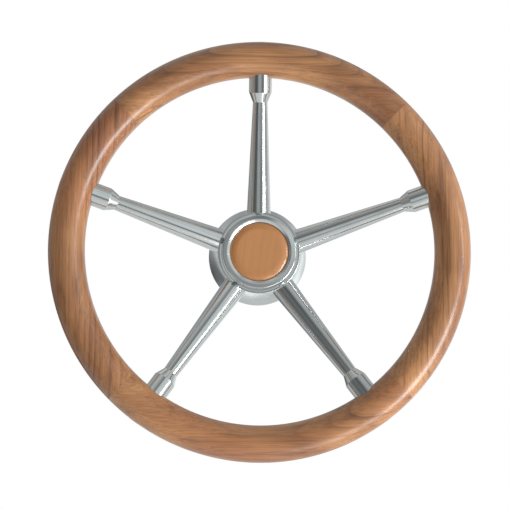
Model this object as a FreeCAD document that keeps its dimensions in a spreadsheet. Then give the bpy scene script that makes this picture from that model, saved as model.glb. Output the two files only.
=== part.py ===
import FreeCAD, Part
import math
import os

import Sketcher
from FreeCAD import Placement, Rotation, Vector

# A small yacht's steering wheel, in millimetres. The wheel turns about the Y axis. The helmsman
# stands on the -Y side, Z is up and X is to the helmsman's right. The origin is the middle of the
# hub's back face, where the large end of the shaft's taper sits.
#
# The rim is four felloes of wood, and its plane is in front of the hub, so the five round spokes
# lean forward as they leave the hub. A cap screws into the hub over the shaft's nut.
#
# Depths are measured forward from the hub's back face. Lengths along a spoke are measured from
# the middle of the rim's section towards the hub, and radii from the axis of the piece.

DIMENSIONS = {
    # rim
    "rim_radius": 160,
    "rim_section": 15,
    "rim_dish": 70,
    # loose tongues that join one felloe to the next
    "tongue_length": 26,
    "tongue_width": 16,
    "tongue_thickness": 5,
    # spokes, which meet the wheel's axis this far behind the rim's plane
    "spoke_rise": 54,
    "spoke_count": 5,
    "spoke_tip_radius": 6.2,
    "spoke_root_radius": 10.5,
    "spoke_root": 133.8,
    "spoke_inner_end": 143.2,
    "tenon_radius": 6,
    # ferrules, flared collars between the spokes and the rim
    "ferrule_radius": 9.7,
    "ferrule_neck_radius": 6.45,
    "ferrule_neck": 35,
    "ferrule_shoulder": 27,
    "ferrule_seat": 10,
    "ferrule_rounding": 1.2,
    # screws through the rim into the spokes' ends, measured outward from the middle of the section
    "rim_screw_radius": 2.5,
    "rim_screw_reach": 9,
    "rim_screw_seat": 6,
    "rim_screw_head_radius": 4.25,
    "bung_radius": 5,
    "bung_seat": 9,
    # how far a cutting shape runs past what it cuts
    "cutter_margin": 5,
    # hub
    "hub_back_radius": 43.3,
    "hub_back_rounding": 1.4,
    "hub_flare_start": 2,
    "hub_flare_radius": 150,
    "hub_front": 37.9,
    "hub_front_radius": 34.7,
    "hub_front_rounding": 0.55,
    "cove_radius": 6,
    "neck_radius": 30,
    "neck_foot": 38.4,
    "land_depth": 42,
    "recess_radius": 28.25,
    "recess_floor": 33.5,
    # boss with the shaft's taper, 1 in 12 on the diameter
    "boss_radius": 15,
    "boss_length": 30,
    "boss_flange_radius": 25,
    "boss_flange": 4.5,
    "taper_large_radius": 9.525,
    "taper_small_radius": 8.525,
    "taper_length": 24,
    "thread_bore_radius": 6.75,
    "keyway_width": 4.8,
    "keyway_height": 11.9,
    # countersunk screws that hold the boss
    "boss_screw_circle": 20,
    "boss_screw_radius": 2.5,
    "boss_screw_head_radius": 4.6,
    "boss_screw_head": 2.4,
    "boss_screw_length": 18,
    "boss_screw_hex": 1.75,
    "boss_screw_hex_depth": 1.8,
    # grub screws that lock the spokes in the hub
    "grub_circle": 30,
    "grub_radius": 3,
    "grub_start": 0.8,
    "grub_end": 18.4,
    "grub_hole_end": 22,
    "grub_hex": 1.75,
    "grub_hex_depth": 3.5,
    # cap: bezel ring with a plain skirt in place of its M56 x 2 thread
    "bezel_foot": 42.1,
    "bezel_radius": 31.4,
    "bezel_brow": 46,
    "bezel_crest": 46.6,
    "bezel_crest_outer": 28.1,
    "bezel_crest_inner": 27.15,
    "bezel_mouth": 45.3,
    "bezel_mouth_radius": 25.35,
    "bezel_step": 42.6,
    "bezel_bore_radius": 26.15,
    "bezel_brow_rounding": 1,
    "bezel_crest_rounding": 0.25,
    "skirt_radius": 28,
    "skirt_end": 34.6,
    "groove_start": 38.9,
    "groove_end": 40.3,
    "groove_radius": 26.95,
    # cap: wooden disc on its plate, the ring that keeps the plate in the bezel, and the gasket
    "plate_back": 40.4,
    "plate_front": 42.4,
    "plate_radius": 26,
    "disc_front": 46.4,
    "disc_radius": 25.05,
    "disc_edge": 44,
    "disc_flat_radius": 18,
    "disc_crown_radius": 11.6,
    "snap_back": 39,
    "snap_front": 40.2,
    "snap_inner_radius": 24.6,
    "snap_outer_radius": 26.85,
    "snap_sweep": 335,
    "gasket_front": 34.4,
    "gasket_inner_radius": 24,
    "gasket_outer_radius": 28.1,
}
SHEET = "dimensions"
SPOKE_NAMES = ("top", "upper_right", "lower_right", "lower_left", "upper_left")
FELLOE_NAMES = ("top", "right", "bottom", "left")
JOINT_NAMES = ("upper_right", "lower_right", "lower_left", "upper_left")
SPOKE_PITCH = 360 / DIMENSIONS["spoke_count"]
FELLOE_SWEEP = 360 / len(FELLOE_NAMES)

# A frame lies in the plane through the wheel's axis and the top spoke: the Y and Z of its origin,
# and how far its first axis is turned from +Y towards +Z.
SPOKE_LEAN = f"atan({SHEET}.spoke_rise / {SHEET}.rim_radius)"
ALONG_AXLE = ("0", "0", "180 deg")
ALONG_SPOKE = ("- rim_dish", "rim_radius", f"{SPOKE_LEAN} - 90 deg")
OUT_OF_RIM = ("- rim_dish", "rim_radius", "90 deg")
ALONG_BOSS_SCREW = ("0", "- boss_screw_circle", "180 deg")
ALONG_GRUB_SCREW = ("0", "grub_circle", "180 deg")

doc = FreeCAD.newDocument("steering_wheel")
parts = []


def fill_sheet():
    """Writes the driving dimensions into the spreadsheet, each with its name as alias."""
    sheet = doc.addObject("Spreadsheet::Sheet", SHEET)
    for row, (alias, number) in enumerate(DIMENSIONS.items(), start=1):
        sheet.set(f"A{row}", alias)
        sheet.set(f"B{row}", str(number))
        sheet.setAlias(f"B{row}", alias)
    doc.recompute()


def worked_out(formula):
    """The number that a formula such as "rim_radius + 2" stands for."""
    total, sign = 0.0, 1
    for word in formula.split():
        if word in ("+", "-"):
            sign = 1 if word == "+" else -1
        else:
            total += sign * float(DIMENSIONS.get(word, word))
    return total


def bound(formula):
    """The same formula with its names read from the spreadsheet."""
    return " ".join(f"{SHEET}.{word}" if word in DIMENSIONS else word for word in formula.split())


def clock(angle):
    """A turn about the wheel's axis, clockwise as the helmsman sees it, from the top."""
    return Placement(Vector(), Rotation(Vector(0, 1, 0), angle))


def origin_feature(body, role):
    return next(f for f in body.Origin.OriginFeatures if f.Role == role)


def new_body(label, angle=0):
    body = doc.addObject("PartDesign::Body", label)
    body.Label = label
    body.Placement = clock(angle)
    return body


def keep(part, label):
    """Marks a finished sub-part, which goes out under its label."""
    part.Label = label
    parts.append(part)
    return part


def sketch_in(body, name, plane, base=("0", "0", "0"), turn="0 deg"):
    sketch = body.newObject("Sketcher::SketchObject", name)
    sketch.AttachmentSupport = [(origin_feature(body, plane), "")]
    sketch.MapMode = "FlatFace"
    sketch.AttachmentOffset = Placement(Vector(), Rotation(Vector(0, 0, 1), 1))
    for axis, formula in zip("xyz", base):
        sketch.setExpression(f".AttachmentOffset.Base.{axis}", bound(formula))
    sketch.setExpression(".AttachmentOffset.Rotation.Angle", turn)
    return sketch


def draw(sketch, corners, arcs=()):
    """Draws a closed outline through corners, each an (x, y) pair of formulas.

    arcs holds (corner, radius, side): the edge that leaves that corner is an arc of that radius,
    whose centre is to the left of the edge for side 1 and to the right for side -1."""
    points = [Vector(worked_out(x), worked_out(y), 0) for x, y in corners]
    bends = {corner: (radius, side) for corner, radius, side in arcs}
    ends = []
    for i, start in enumerate(points):
        stop = points[(i + 1) % len(points)]
        if i in bends:
            radius, side = worked_out(bends[i][0]), bends[i][1]
            chord = stop - start
            left = Vector(-chord.y, chord.x, 0).normalize()
            centre = start + chord / 2 + left * side * math.sqrt(radius**2 - (chord.Length / 2) ** 2)
            circle = Part.Circle(centre, Vector(0, 0, 1), radius)
            first, last = (start, stop) if side == 1 else (stop, start)
            angles = [math.atan2(p.y - centre.y, p.x - centre.x) for p in (first, last)]
            edge = sketch.addGeometry(Part.ArcOfCircle(circle, *angles), False)
            ends.append((1, 2) if side == 1 else (2, 1))
            number = sketch.addConstraint(Sketcher.Constraint("Radius", edge, radius))
            sketch.setExpression(f"Constraints[{number}]", bound(bends[i][0]))
        else:
            sketch.addGeometry(Part.LineSegment(start, stop), False)
            ends.append((1, 2))
    for i, (x, y) in enumerate(corners):
        after = (i + 1) % len(corners)
        joined = Sketcher.Constraint("Coincident", i, ends[i][1], after, ends[after][0])
        sketch.addConstraint(joined)
        for kind, formula in (("DistanceX", x), ("DistanceY", y)):
            size = Sketcher.Constraint(kind, -1, 1, i, ends[i][0], worked_out(formula))
            number = sketch.addConstraint(size)
            sketch.setExpression(f"Constraints[{number}]", bound(formula))


def turned(body, kind, name, frame, corners, arcs=(), sweep="360"):
    """Revolves an outline of (length, radius) corners about the frame's first axis."""
    y, z, turn = frame
    sketch = sketch_in(body, f"{name}_sketch", "YZ_Plane", (y, z, "0"), turn)
    draw(sketch, corners, arcs)
    feature = body.newObject(f"PartDesign::{kind}", name)
    feature.Profile = sketch
    feature.ReferenceAxis = (sketch, ["H_Axis"])
    feature.setExpression("Angle", bound(sweep))
    doc.recompute()
    return feature


def revolve(body, name, frame, corners, arcs=(), sweep="360"):
    return turned(body, "Revolution", name, frame, corners, arcs, sweep)


def bore(body, name, frame, corners, arcs=()):
    before = body.Shape.Volume
    feature = turned(body, "Groove", name, frame, corners, arcs)
    if body.Shape.Volume > before - 1:
        raise ValueError(f"{body.Label}: {name} removes nothing")
    return feature


def rod(start, stop, radius):
    """The outline of a plain cylinder on its frame's axis."""
    return [(start, "0"), (start, radius), (stop, radius), (stop, "0")]


def repeat(body, name, originals, count, whole=False):
    """Repeats features around the wheel's axis, or the whole body where its pieces are separate."""
    pattern = body.newObject("PartDesign::PolarPattern", name)
    if whole:
        pattern.TransformMode = "Whole shape"
    else:
        pattern.Originals = originals
    pattern.Axis = (origin_feature(body, "Y_Axis"), [""])
    pattern.Angle = 360
    pattern.Occurrences = count
    body.Tip = pattern
    doc.recompute()
    return pattern


def round_edges(body, name, edges, rounding):
    fillet = body.newObject("PartDesign::Fillet", name)
    fillet.Base = edges
    fillet.setExpression("Radius", bound(rounding))
    body.Tip = fillet
    doc.recompute()


def ring_edge(body, depth, radius):
    """The edge of a turned piece that circles the wheel's axis at this depth and radius."""
    for number, edge in enumerate(body.Tip.Shape.Edges, start=1):
        if isinstance(edge.Curve, Part.Circle):
            centre = edge.Curve.Center
            misses = (
                edge.Curve.Radius - worked_out(radius),
                centre.y + worked_out(depth),
                math.hypot(centre.x, centre.z),
            )
            if max(abs(miss) for miss in misses) < 0.01:
                return (body.Tip, [f"Edge{number}"])
    raise ValueError(f"{body.Label}: no edge at depth {depth}, radius {radius}")


def hex_socket(body, name, circle, start, size, depth):
    """A hexagonal key socket in the back end of a screw that lies along the wheel's axis."""
    socket = body.newObject("PartDesign::SubtractivePrism", name)
    socket.AttachmentSupport = [(origin_feature(body, "XZ_Plane"), "")]
    socket.MapMode = "FlatFace"
    socket.setExpression(".AttachmentOffset.Base.y", bound(circle))
    socket.setExpression(".AttachmentOffset.Base.z", bound(start))
    socket.Polygon = 6
    socket.setExpression("Circumradius", bound(size))
    socket.setExpression("Height", bound(depth))
    doc.recompute()
    return socket


def slab(body, kind, name, plane, base, turn, corners, thickness, middle=False, back=False):
    """Pads or pockets an outline."""
    before = body.Shape.Volume if kind == "Pocket" else 0
    sketch = sketch_in(body, f"{name}_sketch", plane, base, turn)
    draw(sketch, corners)
    feature = body.newObject(f"PartDesign::{kind}", name)
    feature.Profile = sketch
    feature.setExpression("Length", bound(thickness))
    feature.Midplane = middle
    feature.Reversed = back
    doc.recompute()
    if kind == "Pocket" and body.Shape.Volume > before - 1:
        raise ValueError(f"{body.Label}: {name} removes nothing")
    return feature


def block(half_width, low, high):
    return [
        (f"- {half_width}", low),
        (half_width, low),
        (half_width, high),
        (f"- {half_width}", high),
    ]


def tongue_outline():
    """A tongue seen along the wheel's axis: its length lies across the joint."""
    half_length = str(DIMENSIONS["tongue_length"] / 2)
    half_width = str(DIMENSIONS["tongue_width"] / 2)
    return block(half_length, f"rim_radius - {half_width}", f"rim_radius + {half_width}")


def spoke_sockets(body):
    """The sockets in the rim for a ferrule, a spoke's end, its screw and its bung."""
    past_surface = "rim_section + cutter_margin"
    past_seat = "ferrule_seat + cutter_margin"
    past_screw_seat = "rim_screw_seat + cutter_margin"
    return [
        bore(body, "ferrule_socket", ALONG_SPOKE, rod("ferrule_seat", past_surface, "ferrule_radius")),
        bore(body, "tenon_socket", ALONG_SPOKE, rod("0", past_seat, "tenon_radius")),
        bore(body, "screw_hole", OUT_OF_RIM, rod("- rim_screw_reach", past_screw_seat, "rim_screw_radius")),
        bore(body, "bung_hole", OUT_OF_RIM, rod("rim_screw_seat", past_surface, "bung_radius")),
    ]


def make_rim():
    """Four felloes, cut from one ring that is turned, bored and slotted whole."""
    ring = new_body("rim_blank")
    sketch = sketch_in(ring, "section", "YZ_Plane", ("0", "0", "0"), "180 deg")
    centre = Vector(DIMENSIONS["rim_dish"], DIMENSIONS["rim_radius"], 0)
    sketch.addGeometry(Part.Circle(centre, Vector(0, 0, 1), DIMENSIONS["rim_section"]), False)
    for kind, alias in (("DistanceX", "rim_dish"), ("DistanceY", "rim_radius")):
        number = sketch.addConstraint(Sketcher.Constraint(kind, -1, 1, 0, 3, DIMENSIONS[alias]))
        sketch.setExpression(f"Constraints[{number}]", bound(alias))
    number = sketch.addConstraint(Sketcher.Constraint("Radius", 0, DIMENSIONS["rim_section"]))
    sketch.setExpression(f"Constraints[{number}]", bound("rim_section"))
    hoop = ring.newObject("PartDesign::Revolution", "hoop")
    hoop.Profile = sketch
    hoop.ReferenceAxis = (sketch, ["H_Axis"])
    hoop.Angle = 360
    doc.recompute()

    sockets = spoke_sockets(ring)
    repeat(ring, "all_sockets", sockets, DIMENSIONS["spoke_count"])
    half_sweep = f"{FELLOE_SWEEP / 2} deg"
    slot = slab(
        ring,
        "Pocket",
        "tongue_slot",
        "XZ_Plane",
        ("0", "0", "rim_dish"),
        half_sweep,
        tongue_outline(),
        "tongue_thickness",
        middle=True,
    )
    repeat(ring, "all_slots", [slot], len(FELLOE_NAMES))

    for number, name in enumerate(FELLOE_NAMES):
        wedge = doc.addObject("Part::Cylinder", f"wedge_{name}")
        wedge.Angle = FELLOE_SWEEP
        wedge.setExpression("Radius", bound("rim_radius + rim_section + cutter_margin"))
        wedge.setExpression(
            "Height", bound("rim_section + rim_section + cutter_margin + cutter_margin")
        )
        corner = math.sin(math.radians(FELLOE_SWEEP / 2))
        upright = Rotation(Vector(-corner, 0, corner), Vector(corner, 0, corner), Vector(0, 1, 0), "XYZ")
        behind = Vector(0, -worked_out("rim_dish + rim_section + cutter_margin"), 0)
        wedge.Placement = clock(number * FELLOE_SWEEP).multiply(Placement(behind, upright))
        felloe = doc.addObject("Part::Common", f"rim_felloe_{name}")
        felloe.Base = ring
        felloe.Tool = wedge
        keep(felloe, f"rim_felloe_{name}")


def make_tongues():
    for number, name in enumerate(JOINT_NAMES):
        tongue = new_body(f"rim_tongue_{name}", (number + 0.5) * FELLOE_SWEEP)
        slab(
            tongue,
            "Pad",
            "tongue",
            "XZ_Plane",
            ("0", "0", "rim_dish"),
            "0 deg",
            tongue_outline(),
            "tongue_thickness",
            middle=True,
        )
        keep(tongue, f"rim_tongue_{name}")


def make_rim_fasteners():
    """The screws that pull the spokes' ends into the rim, and the wooden bungs over their heads."""
    screws = new_body("rim_screws")
    shank_and_head = [
        ("- rim_screw_reach", "0"),
        ("- rim_screw_reach", "rim_screw_radius"),
        ("rim_screw_seat", "rim_screw_radius"),
        ("rim_screw_seat", "rim_screw_head_radius"),
        ("bung_seat", "rim_screw_head_radius"),
        ("bung_seat", "0"),
    ]
    revolve(screws, "screw", OUT_OF_RIM, shank_and_head)
    repeat(screws, "all_screws", [], DIMENSIONS["spoke_count"], whole=True)
    keep(screws, "rim_screws")

    blanks = new_body("bung_blanks")
    blank = rod("bung_seat", "rim_section + cutter_margin", "bung_radius")
    revolve(blanks, "bung", OUT_OF_RIM, blank)
    repeat(blanks, "all_bungs", [], DIMENSIONS["spoke_count"], whole=True)
    rim_form = doc.addObject("Part::Torus", "rim_form")
    rim_form.setExpression("Radius1", bound("rim_radius"))
    rim_form.setExpression("Radius2", bound("rim_section"))
    rim_form.Placement = Placement(
        Vector(0, -DIMENSIONS["rim_dish"], 0), Rotation(Vector(1, 0, 0), 90)
    )
    bungs = doc.addObject("Part::Common", "rim_bungs")
    bungs.Base = blanks
    bungs.Tool = rim_form
    keep(bungs, "rim_bungs")


def make_spokes():
    """Tapered rods: a tenon in the hub, the visible taper, and a tenon through the ferrule."""
    outline = [
        ("0", "0"),
        ("0", "tenon_radius"),
        ("ferrule_neck", "tenon_radius"),
        ("ferrule_neck", "spoke_tip_radius"),
        ("spoke_root", "spoke_root_radius"),
        ("spoke_root", "tenon_radius"),
        ("spoke_inner_end", "tenon_radius"),
        ("spoke_inner_end", "0"),
    ]
    for number, name in enumerate(SPOKE_NAMES):
        spoke = new_body(f"spoke_{name}", number * SPOKE_PITCH)
        revolve(spoke, "taper", ALONG_SPOKE, outline)
        screw_hole = rod("- rim_screw_reach", "cutter_margin", "rim_screw_radius")
        bore(spoke, "screw_hole", OUT_OF_RIM, screw_hole)
        keep(spoke, f"spoke_{name}")


def make_ferrules():
    outline = [
        ("ferrule_seat", "tenon_radius"),
        ("ferrule_neck", "tenon_radius"),
        ("ferrule_neck", "ferrule_neck_radius"),
        ("ferrule_shoulder", "ferrule_radius"),
        ("ferrule_seat", "ferrule_radius"),
    ]
    for number, name in enumerate(SPOKE_NAMES):
        ferrule = new_body(f"ferrule_{name}", number * SPOKE_PITCH)
        collar = revolve(ferrule, "collar", ALONG_SPOKE, outline)
        shoulder = [
            f"Edge{i}"
            for i, edge in enumerate(collar.Shape.Edges, start=1)
            if isinstance(edge.Curve, Part.Circle)
            and abs(edge.Curve.Radius - DIMENSIONS["ferrule_radius"]) < 0.01
        ]
        middle = Vector(0, -DIMENSIONS["rim_dish"], DIMENSIONS["rim_radius"])
        far = max(shoulder, key=lambda e: collar.Shape.getElement(e).Curve.Center.distanceToPoint(middle))
        round_edges(ferrule, "rounding", (collar, [far]), "ferrule_rounding")
        keep(ferrule, f"ferrule_{name}")


def make_hub():
    """The polished shell: a flared drum, a cove around the neck, the cap's recess and the sockets."""
    hub = new_body("hub_shell")
    outline = [
        ("boss_flange", "boss_radius"),
        ("recess_floor", "boss_radius"),
        ("recess_floor", "recess_radius"),
        ("land_depth", "recess_radius"),
        ("land_depth", "neck_radius"),
        ("neck_foot", "neck_radius"),
        ("hub_front", "hub_front_radius"),
        ("hub_front - hub_front_rounding", "hub_front_radius + hub_front_rounding"),
        ("hub_flare_start", "hub_back_radius"),
        ("hub_back_rounding", "hub_back_radius"),
        ("0", "hub_back_radius - hub_back_rounding"),
        ("0", "boss_flange_radius"),
        ("boss_flange", "boss_flange_radius"),
    ]
    arcs = [
        (5, "cove_radius", -1),
        (6, "hub_front_rounding", 1),
        (7, "hub_flare_radius", -1),
        (9, "hub_back_rounding", 1),
    ]
    revolve(hub, "drum", ALONG_AXLE, outline, arcs)
    root = [
        ("ferrule_neck", "0"),
        ("ferrule_neck", "spoke_tip_radius"),
        ("spoke_root", "spoke_root_radius"),
        ("spoke_root", "0"),
    ]
    tenon = rod("spoke_root - cutter_margin", "spoke_inner_end", "tenon_radius")
    grub_hole = rod("0", "grub_hole_end", "grub_radius")
    boss_screw_hole = rod("boss_flange", "boss_screw_length", "boss_screw_radius")
    holes = [
        bore(hub, "root_socket", ALONG_SPOKE, root),
        bore(hub, "tenon_socket", ALONG_SPOKE, tenon),
        bore(hub, "grub_hole", ALONG_GRUB_SCREW, grub_hole),
        bore(hub, "boss_screw_hole", ALONG_BOSS_SCREW, boss_screw_hole),
    ]
    repeat(hub, "all_holes", holes, DIMENSIONS["spoke_count"])
    keep(hub, "hub_shell")


def make_boss():
    """The boss that fits the helm's shaft: tapered bore, keyway, and a bore for the thread."""
    boss = new_body("shaft_boss")
    outline = [
        ("0", "taper_large_radius"),
        ("taper_length", "taper_small_radius"),
        ("taper_length", "thread_bore_radius"),
        ("boss_length", "thread_bore_radius"),
        ("boss_length", "boss_radius"),
        ("boss_flange", "boss_radius"),
        ("boss_flange", "boss_flange_radius"),
        ("0", "boss_flange_radius"),
    ]
    revolve(boss, "bush", ALONG_AXLE, outline)
    screw_seat = [
        ("0", "0"),
        ("0", "boss_screw_head_radius"),
        ("boss_screw_head", "boss_screw_radius"),
        ("boss_flange", "boss_screw_radius"),
        ("boss_flange", "0"),
    ]
    seat = bore(boss, "screw_seat", ALONG_BOSS_SCREW, screw_seat)
    repeat(boss, "all_seats", [seat], DIMENSIONS["spoke_count"])
    half_width = str(DIMENSIONS["keyway_width"] / 2)
    slab(
        boss,
        "Pocket",
        "keyway",
        "XZ_Plane",
        ("0", "0", "0"),
        "0 deg",
        block(half_width, "0", "keyway_height"),
        "taper_length",
        back=True,
    )
    keep(boss, "shaft_boss")


def make_hub_screws():
    screws = new_body("boss_screws")
    outline = [
        ("0", "0"),
        ("0", "boss_screw_head_radius"),
        ("boss_screw_head", "boss_screw_radius"),
        ("boss_screw_length", "boss_screw_radius"),
        ("boss_screw_length", "0"),
    ]
    revolve(screws, "screw", ALONG_BOSS_SCREW, outline)
    hex_socket(screws, "key_socket", "- boss_screw_circle", "0", "boss_screw_hex", "boss_screw_hex_depth")
    repeat(screws, "all_screws", [], DIMENSIONS["spoke_count"], whole=True)
    keep(screws, "boss_screws")

    grubs = new_body("spoke_grub_screws")
    revolve(grubs, "grub", ALONG_GRUB_SCREW, rod("grub_start", "grub_end", "grub_radius"))
    hex_socket(grubs, "key_socket", "grub_circle", "grub_start", "grub_hex", "grub_hex_depth")
    repeat(grubs, "all_grubs", [], DIMENSIONS["spoke_count"], whole=True)
    keep(grubs, "spoke_grub_screws")


def make_cap():
    """The screw cap: bezel, snap ring, plate and wooden disc, over a gasket in the hub's recess."""
    bezel = new_body("cap_bezel")
    outline = [
        ("skirt_end", "bezel_bore_radius"),
        ("groove_start", "bezel_bore_radius"),
        ("groove_start", "groove_radius"),
        ("groove_end", "groove_radius"),
        ("groove_end", "bezel_bore_radius"),
        ("bezel_step", "bezel_bore_radius"),
        ("bezel_step", "bezel_mouth_radius"),
        ("bezel_mouth", "bezel_mouth_radius"),
        ("bezel_crest", "bezel_crest_inner"),
        ("bezel_crest", "bezel_crest_outer"),
        ("bezel_brow", "bezel_radius"),
        ("bezel_foot", "bezel_radius"),
        ("bezel_foot", "skirt_radius"),
        ("skirt_end", "skirt_radius"),
    ]
    revolve(bezel, "ring", ALONG_AXLE, outline)
    brow = ring_edge(bezel, "bezel_brow", "bezel_radius")
    round_edges(bezel, "brow_rounding", brow, "bezel_brow_rounding")
    crest = ring_edge(bezel, "bezel_crest", "bezel_crest_outer")
    round_edges(bezel, "crest_rounding", crest, "bezel_crest_rounding")
    keep(bezel, "cap_bezel")

    disc = new_body("cap_inlay_disc")
    pillow = [
        ("plate_front", "0"),
        ("plate_front", "disc_radius"),
        ("disc_edge", "disc_radius"),
        ("disc_front", "disc_flat_radius"),
        ("disc_front", "0"),
    ]
    revolve(disc, "disc", ALONG_AXLE, pillow, [(2, "disc_crown_radius", -1)])
    keep(disc, "cap_inlay_disc")

    plate = new_body("cap_backing_plate")
    revolve(plate, "plate", ALONG_AXLE, rod("plate_back", "plate_front", "plate_radius"))
    keep(plate, "cap_backing_plate")

    snap_ring = new_body("cap_snap_ring")
    section = [
        ("snap_back", "snap_inner_radius"),
        ("snap_front", "snap_inner_radius"),
        ("snap_front", "snap_outer_radius"),
        ("snap_back", "snap_outer_radius"),
    ]
    revolve(snap_ring, "ring", ALONG_AXLE, section, sweep="snap_sweep")
    keep(snap_ring, "cap_snap_ring")

    gasket = new_body("cap_gasket")
    section = [
        ("recess_floor", "gasket_inner_radius"),
        ("gasket_front", "gasket_inner_radius"),
        ("gasket_front", "gasket_outer_radius"),
        ("recess_floor", "gasket_outer_radius"),
    ]
    revolve(gasket, "ring", ALONG_AXLE, section)
    keep(gasket, "cap_gasket")


def check():
    """Stops at any object that failed to build, before anything is written."""
    for item in doc.Objects:
        if "Invalid" in item.State or "Error" in item.State:
            raise ValueError(f"{item.Label} failed: {item.State}")
    for part in parts:
        if part.Shape.isNull() or not part.Shape.isValid() or not part.Shape.Solids:
            raise ValueError(f"{part.Label} has no valid solid")


fill_sheet()
make_rim()
make_tongues()
make_rim_fasteners()
make_spokes()
make_ferrules()
make_hub()
make_boss()
make_hub_screws()
make_cap()
doc.recompute()
check()

os.makedirs("parts", exist_ok=True)
for part in parts:
    part.Shape.exportStep(f"parts/{part.Label}.step")
    print(f"{part.Label}: {len(part.Shape.Solids)} solid(s), {part.Shape.Volume / 1000:.2f} cm3")
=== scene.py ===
"""Looks for a small yacht's steering wheel: four varnished felloes, five polished spokes in flared
ferrules, and a flared hub whose screw cap holds a wooden disc. Everything is in metres in the
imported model's frame: the wheel turns about Y, and the helmsman stands on the -Y side.

Depths are measured forward from the hub's back face, lengths along a spoke from the middle of
the rim's section towards the hub, and clock angles clockwise from the top, in degrees."""

import math

import bpy
import numpy as np
from mathutils import Euler, Matrix, Vector


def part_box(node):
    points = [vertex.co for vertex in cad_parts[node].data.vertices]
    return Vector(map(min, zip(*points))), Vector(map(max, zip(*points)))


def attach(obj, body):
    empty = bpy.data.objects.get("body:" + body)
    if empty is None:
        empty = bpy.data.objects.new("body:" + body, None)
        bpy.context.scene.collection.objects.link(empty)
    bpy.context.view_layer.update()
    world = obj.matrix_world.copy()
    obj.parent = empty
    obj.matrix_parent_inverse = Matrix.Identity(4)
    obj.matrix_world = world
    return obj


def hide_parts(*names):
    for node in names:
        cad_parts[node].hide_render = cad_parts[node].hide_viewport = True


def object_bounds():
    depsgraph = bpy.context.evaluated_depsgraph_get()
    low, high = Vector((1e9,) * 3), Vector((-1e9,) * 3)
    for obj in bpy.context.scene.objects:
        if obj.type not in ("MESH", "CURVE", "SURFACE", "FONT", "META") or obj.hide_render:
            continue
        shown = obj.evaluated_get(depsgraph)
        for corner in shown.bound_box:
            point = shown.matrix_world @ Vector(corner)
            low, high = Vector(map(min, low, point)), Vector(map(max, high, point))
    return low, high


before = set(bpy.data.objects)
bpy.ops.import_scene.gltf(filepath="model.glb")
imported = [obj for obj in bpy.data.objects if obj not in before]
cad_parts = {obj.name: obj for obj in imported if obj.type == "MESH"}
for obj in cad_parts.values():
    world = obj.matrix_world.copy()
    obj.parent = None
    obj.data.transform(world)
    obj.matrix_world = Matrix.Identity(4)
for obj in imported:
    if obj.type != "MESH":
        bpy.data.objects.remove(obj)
CAD_LO, CAD_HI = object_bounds()

MM = 0.001
SPOKES = ("top", "upper_right", "lower_right", "lower_left", "upper_left")
FELLOES = ("top", "right", "bottom", "left")

# The rim, from the whole model's box.
RIM_SECTION = (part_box("rim_felloe_right")[1].y - CAD_LO.y) / 2
RIM_RADIUS = CAD_HI.x - RIM_SECTION
RIM_DEPTH = -CAD_LO.y - RIM_SECTION
BUNG_RADIUS = 5 * MM
BUNG_SEAT = 9 * MM

# Spokes, which meet the wheel's axis this far behind the rim's plane, and their ferrules. Both are
# round about the spoke's axis; their places along it are measured from the middle of the rim.
SPOKE_RISE = 54 * MM
TENON_RADIUS = 6 * MM
SPOKE_OUTER_END = 8 * MM
SPOKE_TIP_RADIUS = 6.2 * MM
SPOKE_ROOT_RADIUS = 10.5 * MM
SPOKE_ROOT = 133.8 * MM
SPOKE_INNER_END = 143.2 * MM
FERRULE_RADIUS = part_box("ferrule_top")[1].x
FERRULE_NECK_RADIUS = 6.45 * MM
FERRULE_SEAT = 10 * MM
FERRULE_SHOULDER = 27 * MM
FERRULE_NECK = 35 * MM

# The cap, from its nodes' boxes: depths are measured forward and radii from the wheel's axis.
BEZEL_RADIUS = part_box("cap_bezel")[1].x
BEZEL_CREST = -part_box("cap_bezel")[0].y
SKIRT_END = -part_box("cap_bezel")[1].y
SKIRT_RADIUS = 28 * MM
BORE_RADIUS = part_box("cap_backing_plate")[1].x + 0.15 * MM
GROOVE_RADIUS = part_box("cap_snap_ring")[1].x + 0.1 * MM
GROOVE = (-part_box("cap_snap_ring")[1].y - 0.1 * MM, -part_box("cap_snap_ring")[0].y + 0.1 * MM)
DISC_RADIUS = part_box("cap_inlay_disc")[1].x
DISC_FRONT = -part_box("cap_inlay_disc")[0].y
DISC_BACK = -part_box("cap_inlay_disc")[1].y
DISC_FLAT_RADIUS = 18 * MM
DISC_EDGE = DISC_FRONT - 2.4 * MM
DISC_DOME = 0.61 * MM
MOUTH_RADIUS = DISC_RADIUS + 0.3 * MM
CREST_INSIDE = MOUTH_RADIUS + 1.8 * MM
CREST_OUTSIDE = MOUTH_RADIUS + 2.7 * MM

# Varnished hardwood, and the wood of the parts out of sight, as linear colours.
PALE = (0.65, 0.300, 0.114)
DEEP = (0.36, 0.138, 0.048)
DARK = (0.140, 0.048, 0.018)
INLAY_PALE = (0.66, 0.285, 0.092)
INLAY_DEEP = (0.60, 0.252, 0.080)
TONGUE_PALE = (0.62, 0.45, 0.28)
TONGUE_DEEP = (0.55, 0.37, 0.21)
TONGUE_DARK = (0.30, 0.17, 0.08)

# The grain's wander, slow and quick, and the pitch of the lathe's marks, in metres.
GRAIN_DRIFT = 0.006
GRAIN_WAVE = 0.0009
LATHE_PITCH = 0.00035

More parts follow.
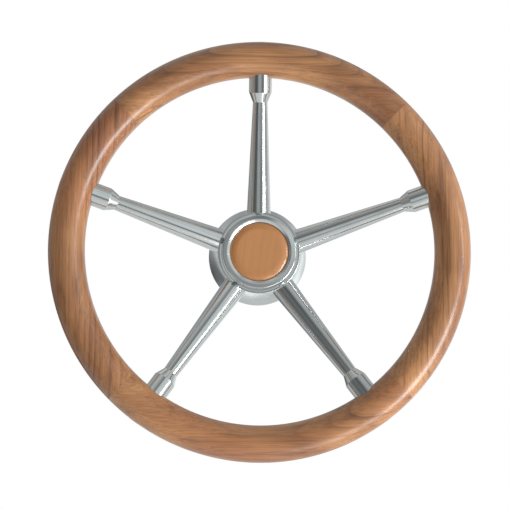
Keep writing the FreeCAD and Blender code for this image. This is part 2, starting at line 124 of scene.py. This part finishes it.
# The studio's screens: a direction, the cosines between which the screen fades in, and its grey.
# The first fades in over ROOM_GREY, and each one after it over those before.
ROOM_GREY = 0.47
SCREENS = (
    ((0.55, 1, -0.25), 0.1, 0.8, 0.84),
    ((1.0, -0.35, 0.1), 0.15, 0.85, 0.64),
    ((-0.62, 0.76, -0.15), 0.88, 0.98, 0.16),
    ((-0.75, -0.65, 0.05), 0.25, 0.75, 0.24),
    ((-0.35, -0.93, -0.1), 0.62, 0.90, 0.15),
    ((0.35, -0.75, -0.55), 0.93, 0.985, 0.12),
    ((-0.1, -0.75, 0.65), 0.90, 0.97, 0.13),
    ((-0.08, -0.99, -0.02), 0.87, 0.94, 0.48),
    ((-0.1, 0.65, 0.7), 0.62, 0.90, 0.34),
    ((0, 0, 1), 0.55, 0.9, 0.48),
)

# The floor, in metres from the wheel's axis. It fades into the backdrop from FLOOR_FADE outwards.
FLOOR_HEIGHT = -1.50
FLOOR_REACH = 4.0
FLOOR_FADE = 1.8
FLOOR_SIDES = 96


# ---------------------------------------------------------------- shapes


def clock(angle):
    """A turn about the wheel's axis, clockwise as the helmsman sees it."""
    return Matrix.Rotation(math.radians(angle), 4, "Y")


def frame_at(origin, along):
    """A matrix whose X axis points along the given direction."""
    along = Vector(along).normalized()
    side = along.orthogonal().normalized()
    turn = Matrix((along, side, along.cross(side))).transposed()
    return Matrix.Translation(origin) @ turn.to_4x4()


ALONG_AXLE = frame_at((0, 0, 0), (0, -1, 0))
ALONG_SPOKE = frame_at((0, -RIM_DEPTH, RIM_RADIUS), (0, SPOKE_RISE, -RIM_RADIUS))


def add_piece(name, points, normals, faces, body, slot, *nodes):
    """A smooth mesh piece with a normal for each point, standing for the named CAD nodes."""
    mesh = bpy.data.meshes.new(name)
    mesh.from_pydata([tuple(p) for p in points], [], faces)
    mesh.polygons.foreach_set("use_smooth", [True] * len(mesh.polygons))
    first = mesh.polygons[0]
    if first.normal.dot(Vector(normals[first.vertices[0]])) < 0:
        mesh.flip_normals()
    mesh.normals_split_custom_set_from_vertices([tuple(n) for n in normals])
    piece = bpy.data.objects.new(name, mesh)
    bpy.context.scene.collection.objects.link(piece)
    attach(piece, body)
    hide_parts(*nodes)
    return piece


def bent(start, stop, sagitta, steps=20):
    """Points of an arc between two (along, radius) corners, without the corners themselves.

    A positive sagitta bows the arc to the left of its direction."""
    a, b = Vector(start), Vector(stop)
    chord = b - a
    left = Vector((-chord.y, chord.x)).normalized()
    radius = (chord.length**2 / 4 + sagitta**2) / (2 * abs(sagitta))
    centre = (a + b) / 2 + left * (sagitta - math.copysign(radius, sagitta))
    first = (a - centre).to_2d()
    sweep = first.angle_signed((b - centre).to_2d())
    turns = [Matrix.Rotation(-sweep * i / steps, 2) for i in range(1, steps)]
    return [(*(centre + turn @ first), None) for turn in turns]


def rounded(corners, closed, steps=6):
    """Points and directions of an outline of (along, radius, rounding) corners.

    A rounding of None marks a point of a smooth curve, which needs no rounding."""
    count = len(corners)
    places = [Vector(c[:2]) for c in corners]
    line = []
    for i, (here, corner) in enumerate(zip(places, corners)):
        if not closed and i in (0, count - 1):
            line.append((here, None))
            continue
        before = (here - places[i - 1]).normalized()
        after = (places[(i + 1) % count] - here).normalized()
        turn = before.angle_signed(after)
        if corner[2] is None:
            line.append((here, (before + after).normalized()))
            continue
        reach = corner[2] * math.tan(abs(turn) / 2)
        shortest = min((here - places[i - 1]).length, (places[(i + 1) % count] - here).length)
        reach = min(reach, 0.48 * shortest)
        radius = reach / math.tan(abs(turn) / 2)
        inward = Vector((-before.y, before.x)) * math.copysign(1, -turn)
        centre = here - before * reach + inward * radius
        for k in range(steps + 1):
            spin = Matrix.Rotation(-turn * k / steps, 2)
            line.append((centre + spin @ (-inward * radius), spin @ before))
    return line


def lathe(place, corners, closed=False, segments=128):
    """Points, normals and faces of an outline revolved about the X axis of place."""
    line = rounded(corners, closed)
    area = sum(
        p[0].x * q[0].y - q[0].x * p[0].y for p, q in zip(line, line[1:] + line[:1])
    )
    out = -1 if area < 0 else 1
    points, normals, rings = [], [], []
    for at, direction in line:
        if at.y < 1e-9:
            rings.append([len(points)])
            points.append(place @ Vector((at.x, 0, 0)))
            middle = sum(p[0].x for p in line) / len(line)
            end = 1 if at.x > middle else -1
            normals.append(place.to_3x3() @ Vector((end, 0, 0)))
            continue
        rings.append(list(range(len(points), len(points) + segments)))
        normal = Vector((direction.y, -direction.x)) * out
        for k in range(segments):
            c, s = math.cos(math.tau * k / segments), math.sin(math.tau * k / segments)
            points.append(place @ Vector((at.x, at.y * c, at.y * s)))
            normals.append(place.to_3x3() @ Vector((normal.x, normal.y * c, normal.y * s)))
    faces = []
    pairs = zip(rings, rings[1:] + rings[:1]) if closed else zip(rings, rings[1:])
    for a, b in pairs:
        for k in range(segments):
            following = (k + 1) % segments
            if len(a) == 1:
                faces.append((a[0], b[following], b[k]))
            elif len(b) == 1:
                faces.append((a[k], a[following], b[0]))
            else:
                faces.append((a[k], a[following], b[following], b[k]))
    return points, normals, faces


def felloe_mesh(middle, half_sweep=45, around=72, stations=120):
    """A quarter of the rim whose ends are rounded by a hair, so that the joint shows as a line."""
    ease, gap = 0.06 * MM, 0.01 * MM
    edge = [(gap + ease * (1 - math.sin(t)), ease * (1 - math.cos(t)), t)
            for t in np.linspace(math.pi / 2, 0, 6)]
    limit = math.radians(half_sweep)
    start = [(-limit + back / RIM_RADIUS, shrink, -tilt) for back, shrink, tilt in edge]
    stop = [(-angle, shrink, -tilt) for angle, shrink, tilt in reversed(start)]
    inner = [(t, 0, 0) for t in np.linspace(start[-1][0], stop[0][0], stations)[1:-1]]
    points, normals = [], []
    turn = math.radians(middle)
    for angle, shrink, tilt in start + inner + stop:
        c, s = math.cos(turn + angle), math.sin(turn + angle)
        radial, tangent = Vector((s, 0, c)), Vector((c, 0, -s))
        for k in range(around):
            phi = math.tau * k / around
            out = radial * math.cos(phi) + Vector((0, -1, 0)) * math.sin(phi)
            centre = radial * RIM_RADIUS + Vector((0, -RIM_DEPTH, 0))
            points.append(centre + out * (RIM_SECTION - shrink))
            normals.append(out * math.cos(tilt) + tangent * math.sin(tilt))
    rows = len(points) // around
    faces = []
    for i in range(rows - 1):
        for k in range(around):
            after = (k + 1) % around
            a, b = i * around, (i + 1) * around
            faces.append((a + k, a + after, b + after, b + k))
    for row, angle, side in ((0, -limit, -1), (rows - 1, limit, 1)):
        c, s = math.cos(turn + angle), math.sin(turn + angle)
        points.append(Vector((s * RIM_RADIUS, -RIM_DEPTH, c * RIM_RADIUS)))
        normals.append(Vector((c, 0, -s)) * side)
        for k in range(around):
            after = (k + 1) % around
            ends = (row * around + k, row * around + after)
            faces.append((len(points) - 1, *(ends if side == 1 else ends[::-1])))
    return points, normals, faces


def bung_mesh(rings=10, around=48):
    """A wooden plug whose face follows the rim's outside and stands a hair proud of it."""
    proud, ease = 0.05 * MM, 0.35 * MM
    points, normals, faces = [], [], []
    for number in range(len(SPOKES)):
        turn = clock(360 / len(SPOKES) * number)
        spin = turn.to_3x3()
        base = len(points)
        radii = [BUNG_RADIUS * math.sqrt(i / rings) for i in range(1, rings + 1)]
        for radius in [0, *radii, BUNG_RADIUS]:
            skirt = len(points) - base >= 1 + rings * around
            for k in range(around if radius else 1):
                a = radius * math.cos(math.tau * k / around)
                b = radius * math.sin(math.tau * k / around)
                ring = RIM_RADIUS + math.sqrt(RIM_SECTION**2 - b**2)
                height = math.sqrt(ring**2 - a**2)
                normal = Vector((a, b * ring / (ring - RIM_RADIUS), height)).normalized()
                fall = max(0, radius - (BUNG_RADIUS - ease)) / ease
                height += proud * (1 - 2 * fall**2)
                side = Vector((a, b, 0)).normalized()
                normal = (normal + side * fall * 0.6).normalized()
                if skirt:
                    height = RIM_RADIUS + BUNG_SEAT
                    normal = side
                points.append(turn @ Vector((a, b - RIM_DEPTH, height)))
                normals.append(spin @ normal)
        for k in range(around):
            after = (k + 1) % around
            faces.append((base, base + 1 + k, base + 1 + after))
            for i in range(rings):
                a = base + 1 + i * around
                b = a + around
                faces.append((a + k, b + k, b + after, a + after))
    return points, normals, faces


# ---------------------------------------------------------------- materials


def fill(tree, node, inputs):
    """Sets a node's inputs. One given as a socket is linked."""
    for key, value in inputs.items():
        if isinstance(value, bpy.types.NodeSocket):
            tree.links.new(value, node.inputs[key])
        else:
            node.inputs[key].default_value = value
    return node


def new_node(tree, kind, inputs=None, **settings):
    """Makes a node, with its settings before its inputs, which some settings change."""
    node = tree.nodes.new(kind)
    for key, value in settings.items():
        setattr(node, key, value)
    return fill(tree, node, inputs or {})


class Nodes:
    """One material's nodes, made by short calls. An input given as a socket is linked."""

    def __init__(self, name):
        self.material = bpy.data.materials.new(name)
        self.material.use_nodes = True
        self.tree = self.material.node_tree
        self.shader = self.tree.nodes["Principled BSDF"]
        self.place = self.add("ShaderNodeTexCoord").outputs["Object"]

    def put(self, node, inputs):
        return fill(self.tree, node, inputs)

    def add(self, kind, inputs=None, **settings):
        return new_node(self.tree, kind, inputs, **settings)

    def shade(self, **inputs):
        """Sets the shader's own sockets; underscores stand for the spaces in their names."""
        self.put(self.shader, {key.replace("_", " "): value for key, value in inputs.items()})
        return self.material

    def math(self, operation, a, b=0.0):
        return self.add("ShaderNodeMath", {0: a, 1: b}, operation=operation).outputs[0]

    def vector(self, operation, a, b):
        return self.add("ShaderNodeVectorMath", {0: a, 1: b}, operation=operation).outputs[0]

    def length(self, vector):
        node = self.add("ShaderNodeVectorMath", {0: vector}, operation="LENGTH")
        return node.outputs["Value"]

    def mapped(self, vector, scale=(1, 1, 1), turn=(0, 0, 0), shift=(0, 0, 0)):
        inputs = {"Vector": vector, "Scale": scale, "Rotation": turn, "Location": shift}
        return self.add("ShaderNodeMapping", inputs).outputs[0]

    def noise(self, vector, scale, stretch=(1, 1, 1), detail=3.0, roughness=0.5, colour=False):
        """Noise whose features are about one over scale metres, shorter where stretch is above 1."""
        inputs = {
            "Vector": self.mapped(vector, stretch),
            "Scale": scale,
            "Detail": detail,
            "Roughness": roughness,
        }
        return self.add("ShaderNodeTexNoise", inputs).outputs[1 if colour else 0]

    def levels(self, value, low, high, to_low=0.0, to_high=1.0):
        inputs = {0: value, 1: low, 2: high, 3: to_low, 4: to_high}
        kind = "SMOOTHSTEP"
        return self.add("ShaderNodeMapRange", inputs, interpolation_type=kind).outputs[0]

    def ramp(self, value, *stops):
        node = self.add("ShaderNodeValToRGB", {0: value})
        steps = node.color_ramp.elements
        while len(steps) < len(stops):
            steps.new(1.0)
        for step, (position, colour) in zip(steps, stops):
            step.position = position
            step.color = (*colour, 1)
        return node.outputs[0]

    def mix(self, factor, a, b, blend="MIX"):
        node = self.add("ShaderNodeMix", {0: factor}, data_type="RGBA", blend_type=blend)
        a, b = ((*x, 1) if isinstance(x, tuple) else x for x in (a, b))
        return self.put(node, {6: a, 7: b}).outputs[2]

    def bump(self, height, distance, strength=1.0):
        inputs = {"Height": height, "Distance": distance, "Strength": strength}
        return self.add("ShaderNodeBump", inputs).outputs[0]


def board(n, turn, shift):
    """Coordinates of a board whose grain runs along X, cut from its own part of a log."""
    return n.mapped(n.place, turn=(0, math.radians(turn), 0), shift=shift)


def growth_rings(n, at, pith, spacing):
    """How far through a year's growth each point is, and a value that differs by year."""
    drift = n.noise(at, 16, (0.30, 1, 1), 2, colour=True)
    fine = n.noise(at, 95, (0.12, 1, 1), 2, colour=True)
    bend = n.vector("MULTIPLY", drift, (GRAIN_DRIFT,) * 3)
    wave = n.vector("MULTIPLY", fine, (GRAIN_WAVE,) * 3)
    moved = n.vector("ADD", n.vector("ADD", at, bend), wave)
    flat = n.mapped(moved, (0.02, 1, 1), shift=(0, -pith[0], -pith[1]))
    years = n.math("DIVIDE", n.length(flat), spacing)
    each = n.add("ShaderNodeTexWhiteNoise", {"W": n.math("FLOOR", years)}, noise_dimensions="1D")
    return n.math("FRACT", years), each.outputs[0]


def wood(name, turn, shift, pith, pale, deep, dark, spacing=0.0042, contrast=1.0, coat=0.24):
    """Open-grained hardwood under clear varnish: rings, blotches, streaks, fibres and pores."""
    n = Nodes(name)
    at = board(n, turn, shift)
    year, each = growth_rings(n, at, pith, spacing)
    growth = ((0.0, 0), (0.50, 0.10), (0.82, 0.65), (0.91, 1), (1.0, 0))
    ring = n.ramp(year, *((position, (grey,) * 3) for position, grey in growth))
    strong = n.levels(each, 0.1, 0.9, 0.10, 0.9)
    patchy = n.levels(n.noise(at, 22, (0.25, 1, 1), 2), 0.35, 0.65, 0.25, 1.0)
    ringed = n.math("MULTIPLY", n.math("MULTIPLY", ring, strong), patchy)
    ringed = n.math("MULTIPLY", ringed, contrast)
    blotch = n.levels(n.noise(at, 24, (0.35, 1, 1), 3, 0.6), 0.32, 0.68)
    red = n.levels(n.noise(at, 13, (0.5, 1, 1), 2), 0.45, 0.62, 0, 0.6 * contrast)
    base = n.mix(blotch, pale, deep)
    redder = (1.0, 0.86, 0.92)
    base = n.mix(red, base, tuple(0.5 * (a + b) * k for a, b, k in zip(pale, deep, redder)))
    base = n.mix(ringed, base, dark)
    streak = n.levels(n.noise(at, 120, (0.06, 1, 1), 4, 0.65), 0.48, 0.76, 0.0, 0.68 * contrast)
    base = n.mix(streak, base, dark)
    low, high = 1 - 0.18 * contrast, 1 + 0.14 * contrast
    fibre = n.levels(n.noise(at, 800, (0.02, 1, 1), 3, 0.6), 0.3, 0.7, low, high)
    grey = n.add("ShaderNodeCombineColor", {0: fibre, 1: fibre, 2: fibre}).outputs[0]
    base = n.mix(1.0, base, grey, "MULTIPLY")
    pore = n.levels(n.noise(at, 1500, (0.03, 1, 1), 1, 0.4), 0.66, 0.74)
    base = n.mix(n.math("MULTIPLY", pore, 0.42 * contrast), base, dark)
    rough = n.levels(n.noise(at, 60, (0.3, 1, 1), 3), 0.3, 0.7, 0.38, 0.52)
    height = n.math("SUBTRACT", n.math("MULTIPLY", fibre, 0.4), pore)
    return n.shade(
        Base_Color=base,
        Roughness=rough,
        Normal=n.bump(height, 0.00003, 0.5),
        Coat_Weight=1.0,
        Coat_Roughness=coat,
        Coat_IOR=1.5,
    )


def rim_boards():
    """A board for each felloe: the grain runs across the wheel in two and up it in the others."""
    cuts = {
        "top": (0, (0.31, 0.02, 0.05), (0.05, 0.13)),
        "right": (90, (1.17, 0.05, 0.02), (0.06, 0.10)),
        "bottom": (0, (2.63, -0.04, 0.31), (0.05, 0.06)),
        "left": (90, (3.41, 0.03, -0.21), (0.04, -0.45)),
    }
    return {
        name: wood(f"rim_wood_{name}", *cut, PALE, DEEP, DARK) for name, cut in cuts.items()
    }


def bung_wood():
    return wood("bung_wood", 45, (5.2, 0.3, 0.1), (0.2, 0.3), PALE, DEEP, DARK, 0.0016, 0.8)


def inlay_wood():
    cut = (82, (7.7, 0.1, 0.4), (0.3, 0.5))
    return wood("inlay_wood", *cut, INLAY_PALE, INLAY_DEEP, DARK, 0.0022, 0.16, 0.06)


def tongue_wood():
    cut = (45, (9.1, 0.5, 0.2), (0.4, 0.2))
    return wood("tongue_wood", *cut, TONGUE_PALE, TONGUE_DEEP, TONGUE_DARK, 0.0012, 0.6)


def polished_steel():
    """Stainless steel polished by hand: smudges change its gloss, and the mop leaves fine lines."""
    n = Nodes("polished_steel")
    smudge = n.levels(n.noise(n.place, 38, detail=4, roughness=0.6), 0.42, 0.70)
    speck = n.levels(n.noise(n.place, 420, detail=2), 0.60, 0.75)
    rough = n.levels(smudge, 0, 1, 0.14, 0.17)
    rough = n.math("ADD", rough, n.math("MULTIPLY", speck, 0.01))
    tone = n.mix(smudge, (0.75, 0.785, 0.785), (0.69, 0.73, 0.735))
    lines = n.noise(n.place, 900, (1, 0.15, 1), 3)
    return n.shade(
        Base_Color=tone, Metallic=1.0, Roughness=rough, Normal=n.bump(lines, 0.000004, 0.1)
    )


def turned_steel(name, tone, rough_low, rough_high):
    """Steel as the lathe left it: rings about the wheel's axis, and a dull film in patches."""
    n = Nodes(name)
    turns = n.math("DIVIDE", n.length(n.mapped(n.place, (1, 0, 1))), LATHE_PITCH)
    inputs = {"W": turns, "Scale": 1.0, "Detail": 3.0}
    rings = n.add("ShaderNodeTexNoise", inputs, noise_dimensions="1D").outputs[0]
    film = n.levels(n.noise(n.place, 70, detail=4, roughness=0.6), 0.4, 0.7)
    worn = n.levels(n.noise(n.place, 260, detail=3), 0.55, 0.75, 0, 0.5)
    darker = tuple(0.72 * x for x in tone)
    lighter = tuple(min(1, 1.25 * x) for x in tone)
    colour = n.mix(worn, n.mix(film, tone, darker), lighter)
    rough = n.levels(film, 0, 1, rough_low, rough_high)
    rough = n.math("ADD", rough, n.math("MULTIPLY", rings, 0.08))
    return n.shade(
        Base_Color=colour, Metallic=1.0, Roughness=rough, Normal=n.bump(rings, 0.00004, 0.6)
    )


def gasket_rubber():
    """Black nitrile with a bloom of talc and a moulded grain."""
    n = Nodes("gasket_rubber")
    bloom = n.levels(n.noise(n.place, 90, detail=4), 0.4, 0.8, 0, 0.5)
    colour = n.mix(bloom, (0.022, 0.022, 0.024), (0.07, 0.07, 0.072))
    grain = n.noise(n.place, 2400, detail=2)
    rough = n.levels(grain, 0.3, 0.7, 0.55, 0.75)
    return n.shade(Base_Color=colour, Roughness=rough, Normal=n.bump(grain, 0.00004, 0.7))


# ---------------------------------------------------------------- pieces


def cover(piece, material):
    """Gives a piece or CAD node its one material."""
    if piece.material_slots:
        for holder in piece.material_slots:
            holder.material = material
    else:
        piece.data.materials.append(material)
    return piece


def make_rim():
    boards = rim_boards()
    for number, name in enumerate(FELLOES):
        mesh = felloe_mesh(360 / len(FELLOES) * number)
        node = f"rim_felloe_{name}"
        piece = add_piece(f"felloe_{name}_varnished", *mesh, "root", "rim_wood", node)
        cover(piece, boards[name])
    piece = add_piece("bungs_varnished", *bung_mesh(), "root", "bung_wood", "rim_bungs")
    cover(piece, bung_wood())


def make_spokes(steel):
    tip, root = (FERRULE_NECK, SPOKE_TIP_RADIUS), (SPOKE_ROOT, SPOKE_ROOT_RADIUS)
    taper = [
        (SPOKE_OUTER_END, 0, 0),
        (SPOKE_OUTER_END, TENON_RADIUS, 0.3 * MM),
        (tip[0], TENON_RADIUS, 0.05 * MM),
        (*tip, 0.12 * MM),
        (*root, 0.2 * MM),
        (root[0], TENON_RADIUS, 0.05 * MM),
        (SPOKE_INNER_END, TENON_RADIUS, 0.3 * MM),
        (SPOKE_INNER_END, 0, 0),
    ]
    inside = TENON_RADIUS + 0.02 * MM
    collar = [
        (FERRULE_SEAT, inside, 0.1 * MM),
        (FERRULE_NECK, inside, 0.1 * MM),
        (FERRULE_NECK, FERRULE_NECK_RADIUS, 0.14 * MM),
        (FERRULE_SHOULDER, FERRULE_RADIUS, 1.2 * MM),
        (FERRULE_SEAT, FERRULE_RADIUS, 0.3 * MM),
    ]
    for number, name in enumerate(SPOKES):
        place = clock(360 / len(SPOKES) * number) @ ALONG_SPOKE
        mesh = lathe(place, taper, segments=96)
        piece = add_piece(f"spoke_{name}_polished", *mesh, "root", "polished_steel", f"spoke_{name}")
        cover(piece, steel)
        mesh = lathe(place, collar, closed=True, segments=96)
        node = f"ferrule_{name}"
        piece = add_piece(f"{node}_polished", *mesh, "root", "polished_steel", node)
        cover(piece, steel)


def make_bezel(steel):
    """The cap's ring: a lip that slopes in to the disc, a narrow crest, a brow that falls to the
    outer wall, and a skirt with a groove for the snap ring."""
    lip, mouth = BEZEL_CREST - 0.05 * MM, BEZEL_CREST - 1.3 * MM
    step, foot = DISC_BACK + 0.2 * MM, DISC_BACK - 0.3 * MM
    ring = [
        (SKIRT_END, BORE_RADIUS, 0.2 * MM),
        (GROOVE[0], BORE_RADIUS, 0.05 * MM),
        (GROOVE[0], GROOVE_RADIUS, 0.05 * MM),
        (GROOVE[1], GROOVE_RADIUS, 0.05 * MM),
        (GROOVE[1], BORE_RADIUS, 0.05 * MM),
        (step, BORE_RADIUS, 0.05 * MM),
        (step, MOUTH_RADIUS, 0.12 * MM),
        (mouth, MOUTH_RADIUS, 0.25 * MM),
        (lip, CREST_INSIDE, 0.3 * MM),
        (lip, CREST_OUTSIDE, 0.6 * MM),
        (BEZEL_CREST - 0.6 * MM, BEZEL_RADIUS, 1.0 * MM),
        (foot, BEZEL_RADIUS, 0.25 * MM),
        (foot, SKIRT_RADIUS, 0.1 * MM),
        (SKIRT_END, SKIRT_RADIUS, 0.3 * MM),
    ]
    mesh = lathe(ALONG_AXLE, ring, closed=True, segments=192)
    piece = add_piece("bezel_polished", *mesh, "bezel", "polished_steel", "cap_bezel")
    cover(piece, steel)


def make_disc():
    """The wooden disc: flat in the middle, and domed down to its edge."""
    middle, brim = (DISC_FRONT, DISC_FLAT_RADIUS), (DISC_EDGE, DISC_RADIUS)
    edge = [(DISC_EDGE, DISC_RADIUS, 0.1 * MM), (DISC_BACK, DISC_RADIUS, 0.1 * MM)]
    dome = bent(middle, brim, -DISC_DOME)
    face = [(DISC_FRONT, 0, 0), (*middle, None), *dome, *edge, (DISC_BACK, 0, 0)]
    mesh = lathe(ALONG_AXLE, face, segments=160)
    piece = add_piece("inlay_disc_varnished", *mesh, "inlay", "inlay_wood", "cap_inlay_disc")
    cover(piece, inlay_wood())


def finish_nodes(steel):
    """Materials for the CAD nodes that stay as they are."""
    plain = turned_steel("plain_steel", (0.56, 0.57, 0.57), 0.24, 0.38)
    dark = turned_steel("dark_steel", (0.085, 0.085, 0.09), 0.30, 0.48)
    rubber, hardwood = gasket_rubber(), tongue_wood()
    finishes = {
        "hub_shell": ("polished_steel", steel),
        "shaft_boss": ("plain_steel", plain),
        "boss_screws": ("plain_steel", plain),
        "rim_screws": ("plain_steel", plain),
        "cap_backing_plate": ("plain_steel", plain),
        "cap_snap_ring": ("plain_steel", plain),
        "spoke_grub_screws": ("dark_steel", dark),
        "cap_gasket": ("gasket_rubber", rubber),
    }
    for name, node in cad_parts.items():
        if name.startswith("rim_tongue_"):
            finishes[name] = ("tongue_wood", hardwood)
        if name in finishes:
            cover(node, finishes[name][1])


# ---------------------------------------------------------------- studio


def softbox(name, azimuth, elevation, distance, width, height, radiance, roll=0):
    """A rectangular light facing the wheel. Azimuth 0 is the helmsman's side, 90 the right.

    Distance and sizes are in metres, and radiance is against the backdrop's 1."""
    a, e = math.radians(azimuth), math.radians(elevation)
    toward = Vector((math.sin(a) * math.cos(e), -math.cos(a) * math.cos(e), math.sin(e)))
    lamp = bpy.data.lights.new(name, "AREA")
    lamp.shape = "RECTANGLE"
    lamp.size, lamp.size_y = width, height
    lamp.energy = radiance * math.pi * width * height
    light = bpy.data.objects.new(name, lamp)
    light.location = Vector((0, -RIM_DEPTH, 0)) + toward * distance
    light.rotation_mode = "QUATERNION"
    aim = toward.to_track_quat("Z", "Y")
    light.rotation_quaternion = aim @ Matrix.Rotation(math.radians(roll), 3, "Z").to_quaternion()
    bpy.context.scene.collection.objects.link(light)


def make_world():
    """A white backdrop, and a studio of uneven screens, dim on the left and lighter on the right."""
    world = bpy.data.worlds.new("studio")
    bpy.context.scene.world = world
    world.use_nodes = True
    tree = world.node_tree
    tree.nodes.clear()

    def add(kind, inputs=None, **settings):
        return new_node(tree, kind, inputs, **settings)

    def toward(direction, low, high):
        """1 in the given direction and 0 away from it."""
        aim = tuple(Vector(direction).normalized())
        dot = add("ShaderNodeVectorMath", {0: look, 1: aim}, operation="DOT_PRODUCT")
        inputs = {0: dot.outputs["Value"], 1: low, 2: high}
        return add("ShaderNodeMapRange", inputs, interpolation_type="SMOOTHSTEP").outputs[0]

    look = add("ShaderNodeTexCoord").outputs["Generated"]
    grey = ROOM_GREY
    for direction, low, high, shade in SCREENS:
        inputs = {0: toward(direction, low, high), 2: grey, 3: shade}
        grey = add("ShaderNodeMix", inputs, data_type="FLOAT").outputs[0]
    screens = add("ShaderNodeTexNoise", {"Vector": look, "Scale": 2.4, "Detail": 1.5}).outputs[0]
    uneven = add("ShaderNodeMapRange", {0: screens, 1: 0.35, 2: 0.65, 3: 0.62, 4: 1.38}).outputs[0]
    grey = add("ShaderNodeMath", {0: grey, 1: uneven}, operation="MULTIPLY").outputs[0]
    studio = add("ShaderNodeBackground", {0: (0.97, 1.0, 1.0, 1), 1: grey})
    backdrop = add("ShaderNodeBackground", {0: (1, 1, 1, 1), 1: 1.0})
    seen = add("ShaderNodeLightPath").outputs["Is Camera Ray"]
    both = add("ShaderNodeMixShader", {0: seen, 1: studio.outputs[0], 2: backdrop.outputs[0]})
    add("ShaderNodeOutputWorld", {0: both.outputs[0]})


def make_floor():
    """A pale round floor, faintly lit from within, whose edge fades into the backdrop."""
    mesh = bpy.data.meshes.new("floor")
    turns = [math.tau * k / FLOOR_SIDES for k in range(FLOOR_SIDES)]
    points = [
        (FLOOR_REACH * math.cos(t), FLOOR_REACH * math.sin(t), FLOOR_HEIGHT) for t in turns
    ]
    mesh.from_pydata(points, [], [tuple(range(FLOOR_SIDES))])
    floor = bpy.data.objects.new("floor", mesh)
    bpy.context.scene.collection.objects.link(floor)
    n = Nodes("pale_floor")
    away = n.length(n.mapped(n.place, (1, 1, 0)))
    mottle = n.levels(n.noise(n.place, 3, detail=3), 0.3, 0.7)
    colour = n.mix(mottle, (0.86, 0.86, 0.85), (0.83, 0.83, 0.83))
    n.shade(
        Base_Color=colour,
        Roughness=0.8,
        Alpha=n.levels(away, FLOOR_FADE, FLOOR_REACH * 0.98, 1.0, 0.0),
        Emission_Color=(1, 1, 1, 1),
        Emission_Strength=0.22,
    )
    cover(floor, n.material)


def make_camera():
    """A short telephoto a little below and to the left of the wheel's middle."""
    data = bpy.data.cameras.new("camera")
    data.lens = 74.72
    data.sensor_width = 36
    data.clip_start, data.clip_end = 0.05, 50
    camera = bpy.data.objects.new("camera", data)
    distance, aside, below = 0.870, -0.0403, -0.0994
    camera.location = (aside, -RIM_DEPTH - distance, below)
    camera.rotation_euler = Euler((math.radians(90 + 6.15), 0, math.radians(-2.33)))
    bpy.context.scene.collection.objects.link(camera)
    bpy.context.scene.camera = camera


def make_studio():
    bpy.context.scene.view_settings.view_transform = "Standard"
    make_world()
    make_floor()
    softbox("key", 57, -24, 1.5, 0.42, 0.90, 9.5, roll=10)
    softbox("key_upper", 60, 7, 1.5, 0.11, 0.50, 9.0, roll=10)
    softbox("low_fill", 36, -48, 1.3, 0.50, 0.50, 2.5)
    make_camera()


# ---------------------------------------------------------------- assembly

steel = polished_steel()
make_rim()
make_spokes(steel)
make_bezel(steel)
make_disc()
finish_nodes(steel)
make_studio()
